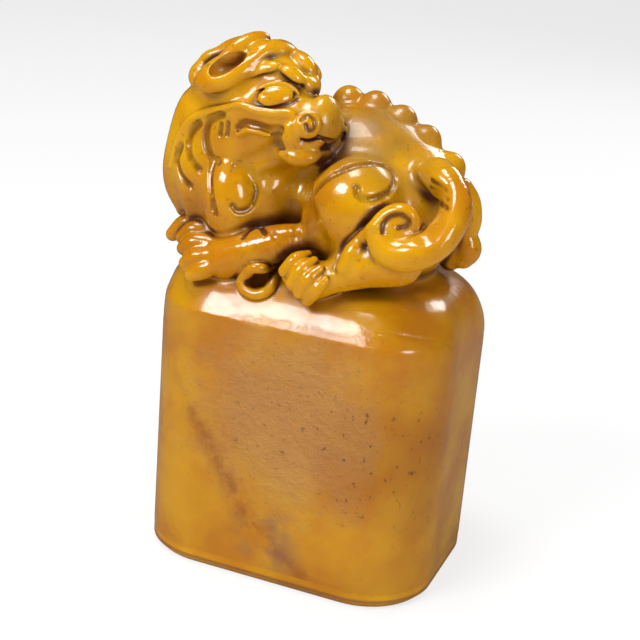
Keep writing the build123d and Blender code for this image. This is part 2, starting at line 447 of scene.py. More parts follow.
masses.roll("tail_root", rootPath, tailRoot["radii"], tailRoot["blend"])
for pixels, radii in tailLocks["locks"]:
    masses.roll("tail_locks", pathAt(pixels, tailLocks["depth"]), radii, tailLocks["blend"])
for pixel, aim in zip(spineKnobs["pixels"], spineKnobs["aims"]):
    knob = atDepth(pixel, spineKnobs["depth"])
    inward = unit(atDepth(aim, spineKnobs["depth"]) - knob)
    sideways = unit(np.cross(inward, (0, 1, 0)))
    axes = np.array([inward, sideways, np.cross(inward, sideways)])
    masses.add("spine_ridge", Pebble(knob, spineKnobs["radii"], axes), spineKnobs["blend"])

# Carved details
clay = Clay(masses.forms)


def bead(piece, pixel, aim, radii, lift, blend, mirror=None, hollow=False):
    spots = masses.cast([pixel, aim])  # a small form on the clay, its long axis from pixel towards aim
    places = [(piece, spots)]
    if mirror is not None:
        places.append((piece.replace("left_", "right_"), masses.seated(mirror(spots))))
    for name, placed in places:
        out = masses.slope(placed[:1])[0]
        along = placed[1] - placed[0]
        along = unit(along - out * (along @ out))
        shape = Pebble(placed[0] + out * lift, radii, np.array([along, np.cross(out, along), out]))
        if hollow:
            clay.carve(shape, blend)
        else:
            clay.add(name, shape, blend)


def strand(piece, pixels, radii, lift, blend, mirror=None):
    spots = masses.cast(pixels)
    clay.roll(piece, spots + masses.slope(spots) * lift, radii, blend)
    if mirror is not None:
        spots = masses.seated(mirror(spots))
        clay.roll(piece.replace("left_", "right_"), spots + masses.slope(spots) * lift, radii, blend)


def cutLine(pixels, width, depth, mirror=None, lift=0.0):
    spots = masses.cast(pixels)
    clay.groove(spots + masses.slope(spots) * lift, width, depth)
    if mirror is not None:
        spots = masses.seated(mirror(spots))
        clay.groove(spots + masses.slope(spots) * lift, width, depth)


ears = {
    "shell": {"pixel": (227, 71), "aim": (247, 64), "radii": (3.7, 2.4, 1.7), "lift": -0.3, "blend": 0.3},
    "cup": {"pixel": (231, 70), "aim": (245, 61), "radii": (2.2, 1.2, 1.5), "lift": 1.0, "blend": 0.15},
    "roll": {"pixel": (200, 75), "aim": (206, 66), "radii": (1.7, 1.15, 1.2), "lift": 0.0, "blend": 0.5},
    "tip": {"pixel": (212, 62), "aim": (222, 55), "radii": (1.5, 0.8, 0.9), "lift": 0.4, "blend": 0.5},
}
bead("ears", **ears["shell"], mirror=acrossHead)
bead("ears", **ears["cup"], mirror=acrossHead, hollow=True)
bead("ear_rolls", **ears["roll"], mirror=acrossHead)
bead("ear_rolls", **ears["tip"], mirror=acrossHead)

crownTufts = {
    "near": [  # pixel, aim, radii, lift
        ((246, 48), (266, 41), (3.0, 1.1, 1.4), 0.0),
        ((264, 54), (276, 49), (2.2, 0.8, 0.8), 0.1),
        ((285, 51), (296, 58), (1.6, 1.2, 0.9), 0.1),
        ((304, 64), (311, 76), (1.8, 1.1, 1.0), 0.0),
    ],
    "paired": [
        ((236, 47), (256, 42), (2.4, 1.2, 1.0), 0.0),
        ((270, 50), (290, 54), (2.2, 1.2, 0.9), 0.0),
    ],
    "blend": 0.55,
    "parting": {"pixels": [(226, 53), (240, 54), (252, 50), (264, 45), (274, 42)],
                "width": 0.25, "depth": 0.3},
}
for tuft in crownTufts["near"]:
    bead("crown_tufts", *tuft, crownTufts["blend"])
for tuft in crownTufts["paired"]:
    bead("crown_tufts", *tuft, crownTufts["blend"], mirror=acrossHead)
cutLine(**crownTufts["parting"])

brow = {
    "curls": [  # pixel, aim, radii, lift
        ((262, 70), (280, 66), (2.0, 0.9, 0.6), 0.0),
        ((293, 76), (303, 84), (1.5, 0.9, 0.7), 0.1),
        ((309, 86), (313, 93), (1.1, 0.8, 0.7), 0.0),
    ],
    "blend": 0.5,
    "facet": {"pixels": [(262, 76), (254, 84), (245, 93)], "width": 1.1, "depth": 0.45},
}
for curl in brow["curls"]:
    bead("brow_curls", *curl, brow["blend"], mirror=acrossHead)
cutLine(**brow["facet"], mirror=acrossHead)

eyes = {
    "ball": {"pixel": (276, 96), "aim": (290, 94), "radii": (1.9, 1.15, 0.6), "lift": -0.05, "blend": 0.15},
    "upperLid": {"pixels": [(249, 96), (257, 90), (268, 85), (281, 83.5), (292, 87), (298, 94)],
                 "radii": [0.15, 0.28, 0.36, 0.38, 0.32, 0.2], "lift": 0.05, "blend": 0.25},
    "lines": [
        {"pixels": [(256, 96), (264, 91), (276, 87.5), (287, 89.5), (294, 96)], "width": 0.18, "depth": 0.2},
        {"pixels": [(247, 98), (256, 103), (266, 107), (278, 107), (290, 104), (298, 99)],
         "width": 0.18, "depth": 0.2},
        {"pixels": [(246, 97), (262, 82), (282, 78), (299, 85)], "width": 0.5, "depth": 0.25},
    ],
}
bead("eyes", **eyes["ball"], mirror=acrossHead)
strand("head", **eyes["upperLid"], mirror=acrossHead)
for line in eyes["lines"]:
    cutLine(**line, mirror=acrossHead)

cheek = {
    "ridge": {"pixels": [(295, 124), (290, 114), (270, 113), (252, 109), (240, 104), (222, 107), (205, 112),
                         (191, 120), (181, 134), (175, 150), (171, 166)],
              "radii": [0.2, 0.35, 0.35, 0.35, 0.4, 0.4, 0.4, 0.4, 0.35, 0.3, 0.2],
              "lift": 0.1, "blend": 0.6},
    "lip": {"pixels": [(239, 133), (247, 129), (257, 130), (270, 134), (284, 136)],
            "radii": 0.35, "lift": 0.1, "blend": 0.4},
    "valley": {"pixels": [(243, 92), (228, 97), (210, 98), (196, 100)], "width": 0.9, "depth": 0.35},
    "mouth": {"pixels": [(239, 128), (244, 123), (256, 125), (270, 129), (292, 131)],
              "width": 0.28, "depth": 1.1},
    "jawLine": {"pixels": [(279, 134), (276, 146), (264, 156), (246, 163)], "width": 0.8, "depth": 0.6},
    "creases": [[(221, 124), (220, 134)], [(228, 123), (227, 134)]], "creaseWidth": 0.18, "creaseDepth": 0.6,
}
strand("head", **cheek["ridge"], mirror=acrossHead)
strand("head", **cheek["lip"], mirror=acrossHead)
for line in ("valley", "mouth", "jawLine"):
    cutLine(**cheek[line], mirror=acrossHead)
for crease in cheek["creases"]:
    cutLine(crease, cheek["creaseWidth"], cheek["creaseDepth"], acrossHead)

snout = {
    "nostril": {"pixel": (308, 125), "aim": (318, 120),
                "radii": (1.45, 1.35, 0.7), "lift": 0.1, "blend": 0.2},
    "wing": {"pixel": (308, 125), "aim": (318, 120),
             "radii": (1.1, 1.0, 0.6), "lift": -0.2, "blend": 0.4},
    "lip": {"pixels": [(289, 128), (291, 138), (298, 145), (309, 145), (318, 141)],
            "radii": [0.5, 0.9, 1.1, 1.0, 0.6], "lift": 0.0, "blend": 0.7},
    "jawRoll": {"pixels": [(283, 153), (296, 158), (312, 158), (327, 154)],
                "radii": [0.5, 0.85, 0.85, 0.6], "lift": 0.0, "blend": 0.5},
    "swirl": {"pixels": [(301, 121), (308, 117), (315, 121), (314, 128), (308, 129), (306, 125)],
              "width": 0.2, "depth": 0.6, "lift": 0.75},
    "edge": {"pixels": [(297, 124), (299, 133), (307, 138), (316, 137), (321, 138), (333, 141)],
             "width": 0.2, "depth": 0.4},
    "jawGap": {"pixels": [(282, 148), (294, 152), (308, 149), (322, 144)], "width": 0.28, "depth": 0.6},
}
bead("nostrils", **snout["nostril"])
bead("nostrils", **snout["wing"], mirror=acrossHead)
strand("muzzle", **snout["lip"], mirror=acrossHead)
strand("lower_jaw", **snout["jawRoll"], mirror=acrossHead)
cutLine(**snout["swirl"])
cutLine(**snout["edge"], mirror=acrossHead)
cutLine(**snout["jawGap"], mirror=acrossHead)

manePartings = {
    "lines": [
        [(222, 114), (210, 121), (206, 134), (207, 148), (212, 158), (218, 162)],
        [(199, 124), (191, 134), (188, 147), (191, 160), (199, 169)],
        [(181, 146), (177, 160), (180, 174), (190, 186)],
        [(213, 160), (210, 176), (211, 196), (215, 214)],
    ],
    "width": 0.27, "depth": 1.0,
    "farBearings": (-158, 168, 132, 98), "farRing": 1.3, "farHeights": (39.5, 43.0, 47.0, 51.0),
}
for bearing in manePartings["farBearings"]:
    foot = maneLocks["middle"] + outward(bearing) * maneLocks["ring"] * manePartings["farRing"]
    path = [(*foot, height) for height in manePartings["farHeights"]]
    clay.groove(masses.seated(path), manePartings["width"], manePartings["depth"])
for line in manePartings["lines"]:
    cutLine(line, manePartings["width"], manePartings["depth"], acrossHead)

shoulders = [
    {"pixels": [(238, 168), (247, 171), (253, 179)], "width": 0.6, "depth": 0.7},
    {"pixels": [(236, 166), (247, 169), (254, 179), (257, 191), (254, 203), (247, 210), (238, 211),
                (233, 206)],
     "width": 0.26, "depth": 1.0},
]
for line in shoulders:
    cutLine(**line, mirror=acrossBody)

haunches = {
    "swirl": {"pixels": [(312, 194), (324, 181), (337, 173), (356, 165), (372, 163), (386, 167), (395, 178),
                         (391, 190), (379, 198), (366, 200), (358, 195), (357, 188)],
              "width": 0.27, "depth": 1.2},
    "crease": {"pixels": [(367, 225), (353, 238), (342, 253), (335, 268)], "width": 0.4, "depth": 0.4},
    "rim": {"pixels": [(375, 225), (363, 238), (351, 253), (342, 268)],
            "radii": [0.4, 0.8, 0.9, 0.6], "lift": -0.1, "blend": 0.6},
}
cutLine(**haunches["swirl"], mirror=acrossBody)
cutLine(**haunches["crease"], mirror=acrossBody)
strand("left_hindleg", **haunches["rim"], mirror=acrossBody)

limbHollows = [  # the deep ground between the limbs, cut with a wide round tool
    {"pixels": [(300, 178), (304, 200), (309, 222), (318, 242)], "width": 1.3, "depth": 1.2},
    {"pixels": [(330, 160), (312, 168), (290, 174), (268, 178)], "width": 0.9, "depth": 0.6},
]
for line in limbHollows:
    cutLine(**line, mirror=acrossBody)

foretoes = {  # each toe as pixels and their depths, from the wrist to the tip
    "toes": [
        ([(198, 222), (185, 224), (173, 234)], [-7.0, -7.2, -7.6]),
        ([(207, 230), (194, 230), (183, 237)], [-8.6, -9.0, -9.4]),
        ([(208, 243), (194, 243), (184, 248)], [-10.0, -10.3, -10.5]),
        ([(208, 256), (196, 257), (186, 263)], [-10.9, -11.1, -11.2]),
        ([(212, 266), (202, 270), (192, 274)], [-11.3, -11.5, -11.6]),
    ],
    "radii": [0.9, 1.05, 0.8], "blend": 0.35,
    "elbowHook": {"pixels": [(243, 237), (250, 230), (258, 227), (265, 233)], "width": 0.25, "depth": 0.4},
}
for pixels, depths in foretoes["toes"]:
    toe = pathAt(pixels, depths)
    clay.roll("left_foretoes", toe, foretoes["radii"], foretoes["blend"])
    clay.roll("right_foretoes", acrossBody(toe), foretoes["radii"], foretoes["blend"])
cutLine(**foretoes["elbowHook"], mirror=acrossBody)

hindtoes = {
    "toes": [
        [(307, 256), (296, 261), (286, 271)], [(314, 262), (302, 270), (293, 282)],
        [(320, 270), (309, 279), (300, 291)], [(325, 280), (316, 289), (308, 298)],
    ],
    "radii": [0.5, 0.8, 0.7], "lift": 0.15, "blend": 0.3,
}
for toe in hindtoes["toes"]:
    strand("left_hindtoes", toe, hindtoes["radii"], hindtoes["lift"], hindtoes["blend"], acrossBody)

tailCarving = {
    "swirl": {"pixels": [(383, 232), (384, 224), (390, 217), (400, 215), (408, 220), (407, 226), (399, 228)],
              "width": 0.25, "depth": 0.45},
    "pocket": {"pixels": [(436, 200), (434, 218), (426, 234)], "width": 1.2, "depth": 0.8},
    "ribs": [[(431, 180), (445, 190)], [(430, 188), (447, 199)], [(431, 197), (447, 208)]],
    "ribWidth": 0.2, "ribDepth": 0.2,
}
cutLine(**tailCarving["swirl"])
cutLine(**tailCarving["pocket"])
for rib in tailCarving["ribs"]:
    cutLine(rib, tailCarving["ribWidth"], tailCarving["ribDepth"])

charmRing = {
    "loop": {"pixels": [(242, 284), (244, 273), (252, 266), (263, 265), (272, 271), (274, 282), (269, 292),
                        (257, 296), (247, 292), (242, 284)],
             "radii": 0.62, "lift": 0.35, "blend": 0.15},
    "cup": {"pixel": (258, 278), "aim": (266, 275), "radii": (1.5, 1.3, 1.3), "lift": 0.2, "blend": 0.15},
}
strand("charm_ring", **charmRing["loop"])

stoneMarks = {  # pixels and reaches of the marks in the stone, and of the painted shade
    "crack": {"pixels": [(378, 333), (398, 335), (421, 339), (451, 345)], "width": 0.16, "depth": 0.22},
    "vein": [(193, 412), (212, 448), (230, 482), (243, 514), (270, 545), (301, 575)], "veinReach": 1.1,
    "patch": (264, 538), "patchReach": 4.4,
    "ground": (288, 425), "groundReach": (13.0, 1.2, 12.0),  # the rough ground on the front wall
    "speckles": (400, 470), "specklesReach": 9.0,
    "haze": (385, 135), "hazeReach": 8.0,
    # painted shade, on the recess between the foreleg and the haunch
    "shade": (300, 225), "shadeReach": 6.5,
    "fadeStart": 1.2,  # above 1, so that a mark's middle is even
}
cutLine(**stoneMarks["crack"])
bead("charm_ring", **charmRing["cup"], hollow=True)

# Meshes
carving = {
    "voxels": {"seal_block": 0.25, "ledge": 0.2, "torso": 0.16},
    "otherVoxels": 0.135,
    "quickVoxels": 1.8,
    "block": 4,  # voxels along each side of a block
    "batch": 8,  # blocks along each side of a batch
    "bandSlack": 1.6,  # of the distances near the surface, over a block's half diagonal
    "normalReach": 0.7,  # in voxels
    "workers": 4,
    "skirt": 0.3,  # how far a piece reaches under its neighbours
    "skirtFall": 0.15,
    "blockSwell": 0.03,  # of the block over the printing face below it
    "margin": 1.0,
    "ledgeSeam": 27.0,
    "faceSeam": 2.0,
    "roughVoxel": 0.4,  # of the whole carving, for the hollows
    "roughLow": (-21.0, -16.0, -2.0),
    "roughSize": (42.0, 32.0, 64.0),
    "roughSlab": 10,  # voxels measured at once
    "hollowReaches": (0.6, 1.8),
    "ridgeReach": 0.7,
    "narrowGroove": 0.4,  # grooves under this width are darkened along their lines
}


def stoneShares(points, pieces):
    stone = pieces.pop("stone", None)  # the block's one form is shared out by height
    if stone is None:
        return
    height = points[:, 2]
    middle = (carving["ledgeSeam"] + carving["faceSeam"]) / 2
    half = (carving["ledgeSeam"] - carving["faceSeam"]) / 2
    pieces["ledge"] = np.maximum(stone, middle + half - height)
    pieces["seal_block"] = np.maximum(stone, np.abs(height - middle) - half)
    pieces["seal_face"] = np.maximum(stone, height - middle + half)


def pieceField(near, piece, points):
    pieces = {}
    whole = near.field(points, pieces)
    stoneShares(points, pieces)
    others = np.full(len(points), clayWork["beyond"])
    own = pieces.pop(piece, others)
    for gap in pieces.values():
        others = np.minimum(others, gap)
    outside = (own - others) / 2
    if piece == "seal_block":
        whole = whole - carving["blockSwell"]
    lowered = whole + carving["skirtFall"] * np.maximum(outside, 0)
    return np.maximum(lowered, outside - carving["skirt"]), whole


def gridSpots(count):
    return np.stack(np.meshgrid(*[np.arange(n) for n in count], indexing="ij"), -1).reshape(-1, 3)


def sampled(values, low, voxel, points):
    spots = (points - low) / voxel - 0.5
    spots = np.clip(spots, 0, np.array(values.shape) - 1.001)  # just inside the last one
    first = spots.astype(int)
    share = spots - first
    total = 0.0
    for corner in gridSpots([2, 2, 2]):
        weight = np.prod(np.where(corner, share, 1 - share), axis=1)
        total = total + weight * values[tuple((first + corner).T)]
    return total


def pieceLimits(piece):
    owner = "stone" if piece in ("ledge", "seal_block") else piece
    shapes = [form[2] for form in clay.forms if form[0] == "add" and form[1] == owner]
    low = np.min([shape.low for shape in shapes], 0)
    high = np.max([shape.high for shape in shapes], 0)
    if piece == "ledge":
        low[2] = carving["ledgeSeam"]
    if piece == "seal_block":
        low[2], high[2] = carving["faceSeam"], carving["ledgeSeam"]
    return low - carving["margin"], high + carving["margin"]


def sculpt(piece):
    voxel = carving["voxels"].get(piece, carving["otherVoxels"])
    low, high = pieceLimits(piece)
    block = carving["block"]
    batch = carving["batch"]
    count = np.ceil((high - low) / (voxel * block * batch)).astype(int)
    band = voxel * block * math.sqrt(3) / 2 * carving["bandSlack"]
    trimmed = np.full(count * batch * block, band, np.float32)
    whole = np.full(count * batch * block, band, np.float32)
    voxels = gridSpots([block] * 3)
    blocks = gridSpots([batch] * 3)
    for corner in gridSpots(count) * batch:
        batchLow = low + corner * voxel * block
        near = clay.near(batchLow, batchLow + voxel * block * batch)
        if not near.forms:
            continue
        coarse = pieceField(near, piece, batchLow + (blocks + 0.5) * voxel * block)[0]
        cube = np.clip(coarse, -band, band).reshape([batch] * 3)
        for axis in range(3):
            cube = np.repeat(cube, block, axis=axis)
        region = tuple(slice(start, start + batch * block) for start in corner * block)
        trimmed[region] = cube
        active = blocks[np.abs(coarse) < band]
        if len(active):
            spots = (active[:, None, :] * block + voxels[None]).reshape(-1, 3)
            fine, full = pieceField(near, piece, batchLow + (spots + 0.5) * voxel)
            target = tuple((spots + corner * block).T)
            trimmed[target] = fine
            whole[target] = full
    grid = openvdb.FloatGrid(background=float(band))
    grid.copyFromArray(trimmed)
    points, quads = grid.convertToQuads(0.0)
    points = low + (points.astype(float) + 0.5) * voxel
    sides = np.eye(3) * voxel * carving["normalReach"]
    normals = np.stack([sampled(whole, low, voxel, points + side) - sampled(whole, low, voxel, points - side)
                        for side in sides], 1)
    normals /= np.maximum(np.linalg.norm(normals, axis=1), tiny)[:, None]
    hollow = sum(np.clip(1 - roughly(points + normals * reach) / reach, 0, 1)
                 for reach in carving["hollowReaches"]) / len(carving["hollowReaches"])
    ridge = np.clip(1 + roughly(points - normals * carving["ridgeReach"]) / carving["ridgeReach"], 0, 1)
    return points, quads, normals, hollow, ridge


roughLow = np.array(carving["roughLow"])
roughCount = np.ceil(np.array(carving["roughSize"]) / carving["roughVoxel"]).astype(int)
roughValues = np.zeros(roughCount)
for bottom in range(0, roughCount[2], carving["roughSlab"]):
    layers = min(carving["roughSlab"], roughCount[2] - bottom)
    spots = gridSpots([roughCount[0], roughCount[1], layers]) + (0, 0, bottom)
    points = roughLow + (spots + 0.5) * carving["roughVoxel"]
    roughValues[tuple(spots.T)] = clay.near(points.min(0), points.max(0)).field(points)


def roughly(points):
    return sampled(roughValues, roughLow, carving["roughVoxel"], points)


print("stage: rough carving measured, at", round(time.time() - startedAt), "s")


def fading(points, spot, reach):
    return np.clip(stoneMarks["fadeStart"] - np.linalg.norm((points - spot) / reach, axis=1), 0, 1)


def grooveDark(points):
    shadeAndStain = np.zeros(len(points))
    for kind, piece, shape, size, depth in clay.near(points.min(0), points.max(0)).forms:
        if kind == "groove" and size < carving["narrowGroove"]:
            shadeAndStain = np.maximum(shadeAndStain, np.exp(1 - (shape.distance(points) / size) ** 2))
    return np.clip(shadeAndStain, 0, 1)


def marks(points):  # where the stone's own colours change and where shade is painted, 0 to 1 at each vertex
    front = -stoneBlock["halfDepth"]
    crackWidth = stoneMarks["crack"]["width"]
    vein = rollThrough(pathAt(stoneMarks["vein"], front), 0.0).distance(points)
    crack = rollThrough(pathAt(stoneMarks["crack"]["pixels"], front), 0.0).distance(points)
    return {
        "grooveDark": grooveDark(points),
        "vein": np.exp(-(vein / stoneMarks["veinReach"]) ** 2),
        "crack": np.exp(-(crack / crackWidth / 2) ** 2),
        "patch": fading(points, atDepth(stoneMarks["patch"], front), stoneMarks["patchReach"]),
        "ground": fading(points, atDepth(stoneMarks["ground"], front), stoneMarks["groundReach"]),
        "shadedAndPitted": fading(points, atDepth(stoneMarks["speckles"], front), stoneMarks["specklesReach"]),
        "shaded": fading(points, masses.cast([stoneMarks["shade"]])[0], stoneMarks["shadeReach"]),
        "hazy": fading(points, masses.cast([stoneMarks["haze"]])[0], stoneMarks["hazeReach"]),
    }


def pieceMesh(name, node, points, quads, normals, hollow, ridge):
    mesh = bpy.data.meshes.new(name)
    mesh.vertices.add(len(points))
    mesh.vertices.foreach_set("co", (points * mm).astype(np.float32).ravel())
    mesh.loops.add(len(quads) * 4)
    mesh.loops.foreach_set("vertex_index", quads.astype(np.int32).ravel())
    mesh.polygons.add(len(quads))
    mesh.polygons.foreach_set("loop_start", np.arange(0, len(quads) * 4, 4, dtype=np.int32))
    mesh.polygons.foreach_set("use_smooth", np.ones(len(quads), bool))
    mesh.update(calc_edges=True)
    for label, data in {"hollow": hollow, "ridge": ridge, **marks(points)}.items():
        mesh.attributes.new(label, "FLOAT", "POINT").data.foreach_set("value", data.astype(np.float32))
    mesh.normals_split_custom_set_from_vertices(normals.astype(np.float32))
    piece = bpy.data.objects.new(name, mesh)
    bpy.context.collection.objects.link(piece)
    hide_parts(node)
    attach(piece, "root")
    return piece


pieceNames = sorted({form[1] for form in clay.forms if form[0] == "add"} - {"stone"})
pieceNames += ["ledge", "seal_block"]
stonePieces = []
with ThreadPoolExecutor(carving["workers"]) as pool:
    for name, made in zip(pieceNames, pool.map(sculpt, pieceNames)):
        carved = pieceMesh("carved_" + name, name, *made)
        stonePieces.append(carved)
        faces = len(carved.data.polygons)
        print("stage:", carved.name, faces, "faces, at", round(time.time() - startedAt), "s")

# Finishes
def paint(red, green, blue):
    shares = [channel / 255 for channel in (red, green, blue)]  # screen values to Blender's linear ones
    return tuple(((s + 0.055) / 1.055) ** 2.4 if s > 0.04045 else s / 12.92 for s in shares) + (1.0,)


class Flow:  # a socket that takes part in ordinary sums
    def __init__(self, finish, socket):
        self.finish = finish
        self.socket = socket

    def sum(self, operation, first, second):
        node = self.finish.make("ShaderNodeMath", {"operation": operation}, {0: first, 1: second})
        return Flow(self.finish, node.outputs[0])

    def __add__(self, other):
        return self.sum("ADD", self, other)

    __radd__ = __add__

    def __sub__(self, other):
        return self.sum("SUBTRACT", self, other)

    def __rsub__(self, other):
        return self.sum("SUBTRACT", other, self)

    def __mul__(self, other):
        return self.sum("MULTIPLY", self, other)

    __rmul__ = __mul__

    def between(self, low, high):
        settings = {"clamp": True, "interpolation_type": "SMOOTHSTEP"}
        sockets = {"Value": self, "From Min": low, "From Max": high}
        return Flow(self.finish, self.finish.make("ShaderNodeMapRange", settings, sockets).outputs["Result"])


class Finish:
    def __init__(self, name, shaderValues):
        self.material = bpy.data.materials.new(name)
        self.material.use_nodes = True
        self.nodes = self.material.node_tree.nodes
        self.links = self.material.node_tree.links
        self.shader = self.nodes["Principled BSDF"]
        for socket, value in shaderValues.items():
            self.shader.inputs[socket].default_value = value
        self.place = self.make("ShaderNodeTexCoord", {}, {}).outputs["Object"]

    def make(self, kind, settings, sockets):
        node = self.nodes.new(kind)
        for name, value in settings.items():
            setattr(node, name, value)
        for name, value in sockets.items():
            self.feed(node.inputs[name], value)
        return node

    def feed(self, socket, value):
        if isinstance(value, Flow):
            value = value.socket
        if isinstance(value, bpy.types.NodeSocket):
            self.links.new(value, socket)
        else:
            socket.default_value = value

    def noise(self, scale, detail, roughness=0.5, distortion=0.0):
        sockets = {"Vector": self.place, "Scale": scale, "Detail": detail, "Roughness": roughness,
                   "Distortion": distortion}
        return Flow(self, self.make("ShaderNodeTexNoise", {}, sockets).outputs["Fac"])

    def grain(self, look):
        return self.noise(*look["noise"]).between(*look["limits"])

    def trait(self, name):  # a value that each vertex of the mesh holds
        node = self.make("ShaderNodeAttribute", {"attribute_type": "GEOMETRY", "attribute_name": name}, {})
        return Flow(self, node.outputs["Fac"])

    def blend(self, share, first, second):
        node = self.make("ShaderNodeMix", {"data_type": "RGBA"}, {0: share, 6: first, 7: second})
        return node.outputs[2]

    # blends a tone over the colour: real stains, painted shade, and painted light on ridges
    def shadeAndStain(self, tone, amount, look):
        return self.blend(amount * look["share"], tone, amber[look["tone"]])

    def surface(self, tone, roughness, height, look):
        sockets = {"Height": height, "Distance": look["bumpHeight"], "Strength": look["bumpStrength"]}
        self.feed(self.shader.inputs["Base Color"], tone)
        self.feed(self.shader.inputs["Roughness"], roughness)
        self.feed(self.shader.inputs["Normal"], self.make("ShaderNodeBump", {}, sockets).outputs["Normal"])
        return self.material


amber = {
    "golden": paint(208, 152, 3),
    "honey": paint(186, 118, 2),
    "deep": paint(140, 74, 2),
    "crease": paint(88, 40, 2),
    "haze": paint(140, 102, 24),
    "tan": paint(176, 122, 60),
    "rust": paint(132, 62, 14),
    "plum": paint(118, 84, 72),
    "speck": paint(64, 36, 12),
    "shader": {"IOR": 1.56, "Coat Weight": 0.3, "Coat Roughness": 0.05, "Subsurface Weight": 0.2,
               "Subsurface Scale": 0.0012, "Subsurface Radius": (1.0, 0.5, 0.12)},
}

noiseMiddle = 0.5

cloudLook = {  # a noise is its scale per metre, detail, roughness and distortion
    "clouds": {"noise": (120, 4, 0.55), "limits": (0.34, 0.68)},
    "drift": {"noise": (48, 2, 0.5, 0.6), "limits": (0.5, 0.72), "share": 0.45, "tone": "deep"},
}


def stoneColour(finish):
    clouds = finish.noise(*cloudLook["clouds"]["noise"])
    golden = clouds.between(*cloudLook["clouds"]["limits"])
    tone = finish.blend(golden, amber["honey"], amber["golden"])
    return finish.shadeAndStain(tone, finish.grain(cloudLook["drift"]), cloudLook["drift"]), clouds


beastLook = {
    "ridge": {"limits": (0.2, 0.7), "share": 0.5, "tone": "golden"},
    "hazy": {"noise": (150, 3), "limits": (0.2, 0.5), "share": 0.9, "tone": "haze"},
    "shaded": {"noise": (330, 4, 0.65), "limits": (0.3, 0.62), "share": 0.8, "tone": "deep"},
    "shadeAndStain": {"limits": (0.3, 1.0), "share": 1.0, "tone": "crease"},
    "grooveDark": {"noise": (500, 3, 0.6), "limits": (0.25, 0.5), "share": 0.9, "tone": "crease"},
    "specks": {"noise": (1500, 2, 0.6), "limits": (0.62, 0.72), "share": 0.35, "tone": "speck"},
    "hollowShade": 1.3, "cloudStain": 0.6,
    "roughness": 0.15, "hollowRoughness": 0.35, "hazyRoughness": 0.3,
    "wear": (700, 3, 0.6), "bumpHeight": 0.00009, "bumpStrength": 0.6,
}


def carvedStone():
    look = beastLook
    finish = Finish("carvedStone", amber["shader"])
    hollow = finish.trait("hollow")
    tone, clouds = stoneColour(finish)
    # painted light: thin ridges are made lighter and more golden, as if lit through the stone
    tone = finish.shadeAndStain(tone, finish.trait("ridge").between(*look["ridge"]["limits"]), look["ridge"])
    hazy = finish.trait("hazy") * finish.grain(look["hazy"])
    tone = finish.shadeAndStain(tone, hazy, look["hazy"])
    # painted shade on the recess between the foreleg and the haunch
    tone = finish.shadeAndStain(tone, finish.trait("shaded") * finish.grain(look["shaded"]), look["shaded"])
    # painted shade: the hollows are darkened to the crease tone, varied by the cloud noise
    depth = hollow * look["hollowShade"] + (clouds - noiseMiddle) * look["cloudStain"]
    tone = finish.shadeAndStain(tone, depth.between(*look["shadeAndStain"]["limits"]), look["shadeAndStain"])
    # darker, in specks, along the narrow grooves
    tone = finish.shadeAndStain(tone, finish.trait("grooveDark") * finish.grain(look["grooveDark"]), look["grooveDark"])
    tone = finish.shadeAndStain(tone, finish.grain(look["specks"]), look["specks"])
    roughness = look["roughness"] + hollow * look["hollowRoughness"] + hazy * look["hazyRoughness"]
    return finish.surface(tone, roughness, finish.noise(*look["wear"]), look)


blockLook = {
    "depthShare": 0.25,
    "groundNoise": (220, 5, 0.65), "groundSpread": 1.1, "groundLimits": (0.05, 0.9),
    "ground": {"share": 0.65, "tone": "tan"},
    "shadedAndPitted": {"share": 0.5, "tone": "deep"},
    "vein": {"noise": (420, 4, 0.7), "limits": (0.38, 0.6), "share": 0.6, "tone": "rust"},
    "patch": {"noise": (200, 4, 0.6), "limits": (0.45, 0.62), "share": 0.7, "tone": "plum"},
    "crack": {"share": 0.8, "tone": "crease"},
    "pits": {"noise": (1300, 3, 0.65), "limits": (0.6, 0.7), "share": 1.0, "tone": "speck"},
    "speckledPits": 0.8, "groundPits": 0.45, "otherPits": 0.12,
    "shadeAndStain": {"limits": (0.35, 1.1), "share": 0.8, "tone": "deep"}, "cloudStain": 0.4,
    "roughness": 0.24, "groundRoughness": 0.35, "hollowRoughness": 0.2,
    "chisel": (1100, 4, 0.7), "waves": (260, 2), "waveShare": 0.5,
    "bumpHeight": 0.0006, "bumpStrength": 0.9,
}


def blockStone():
    look = blockLook
    finish = Finish("blockStone", amber["shader"])
    hollow = finish.trait("hollow")
    tone, clouds = stoneColour(finish)
    frayed = (finish.noise(*look["groundNoise"]) - noiseMiddle) * look["groundSpread"]
    ground = (finish.trait("ground") + frayed).between(*look["groundLimits"])
    shadedAndPitted = finish.trait("shadedAndPitted")
    tone = finish.blend(look["depthShare"], tone, amber["deep"])
    tone = finish.shadeAndStain(tone, ground, look["ground"])
    # painted shade: darker towards the lower right of the front wall; the same region holds more pits
    tone = finish.shadeAndStain(tone, shadedAndPitted, look["shadedAndPitted"])
    for mark in ("vein", "patch"):
        tone = finish.shadeAndStain(tone, finish.trait(mark) * finish.grain(look[mark]), look[mark])
    tone = finish.shadeAndStain(tone, finish.trait("crack"), look["crack"])
    pitted = shadedAndPitted * look["speckledPits"] + ground * look["groundPits"] + look["otherPits"]
    tone = finish.shadeAndStain(tone, pitted * finish.grain(look["pits"]), look["pits"])
    # painted shade: the hollows are darkened, varied by the cloud noise
    depth = hollow + (clouds - noiseMiddle) * look["cloudStain"]
    tone = finish.shadeAndStain(tone, depth.between(*look["shadeAndStain"]["limits"]), look["shadeAndStain"])
    roughness = look["roughness"] + ground * look["groundRoughness"] + hollow * look["hollowRoughness"]
    chisel = finish.noise(*look["chisel"]) * ground + finish.noise(*look["waves"]) * look["waveShare"]
    return finish.surface(tone, roughness, chisel, look)


